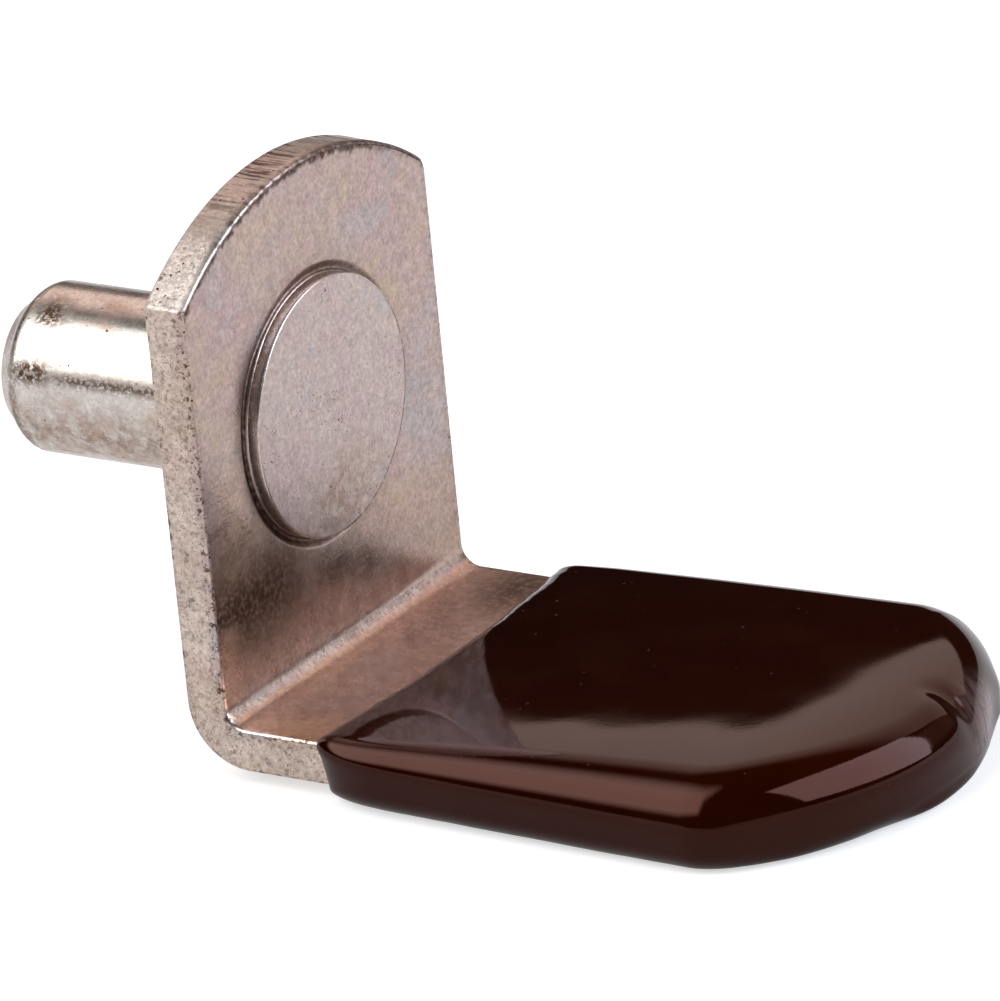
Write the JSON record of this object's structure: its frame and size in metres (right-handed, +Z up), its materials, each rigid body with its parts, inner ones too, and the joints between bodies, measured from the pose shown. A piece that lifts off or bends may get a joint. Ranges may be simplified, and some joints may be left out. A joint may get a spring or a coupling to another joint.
{
  "type": "shelf support pin",
  "caption": "Right-angled shelf support: an arched plate with a round pin behind it for a cabinet hole, and a level arm in a dipped vinyl skin that the shelf rests on.",
  "frame": {"origin": "on the pin's axis at the plate's back face, where the pin leaves the plate", "axes": "+X along the arm, away from the cabinet side, +Y across the strip, +Z up; the pin points along -X"},
  "size_m": [0.0298, 0.0148, 0.0165],
  "materials": {
    "nickel_plated_strip": "satin nickel plating on punched steel strip, warm and faintly mottled, with small dark pits",
    "nickel_plated_pin": "brighter nickel plating on a turned steel pin, with fine specks",
    "brown_vinyl": "very glossy dark chocolate-brown dipped vinyl"
  },
  "bodies": {
    "root": {"angle_bracket": "nickel_plated_strip", "pin": "nickel_plated_pin", "vinyl_coating": "brown_vinyl"}
  },
  "joints": []
}
